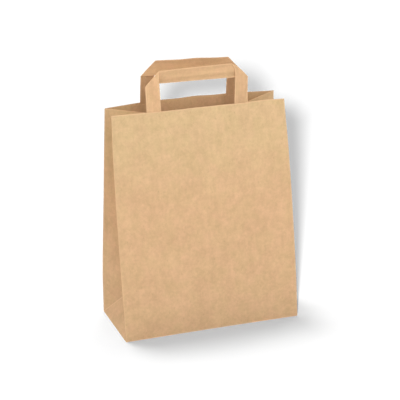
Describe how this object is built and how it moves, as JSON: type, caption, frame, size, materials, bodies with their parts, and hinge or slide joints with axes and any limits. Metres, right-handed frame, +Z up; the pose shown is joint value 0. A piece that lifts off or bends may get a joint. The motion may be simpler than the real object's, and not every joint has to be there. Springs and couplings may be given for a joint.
{
  "type": "paper carrier bag",
  "caption": "Plain kraft paper carrier bag with folded side gussets, a block bottom and flat paper tape handles, standing nearly closed.",
  "frame": {"origin": "middle of the square foot, on the surface the bag stands on", "axes": "+Z up to the handles, +X to the right across the front panel, +Y from the front panel to the rear panel"},
  "size_m": [0.22, 0.1, 0.3237],
  "materials": {
    "kraft_sheet": "matt brown kraft, faintly mottled",
    "handle_tape": "matt brown kraft, folded in layers",
    "patch_paper": "matt brown kraft"
  },
  "bodies": {
    "root": {"bag_body": "kraft_sheet", "front_handle": "handle_tape", "rear_handle": "handle_tape", "front_handle_patch": "patch_paper", "rear_handle_patch": "patch_paper"}
  },
  "joints": []
}
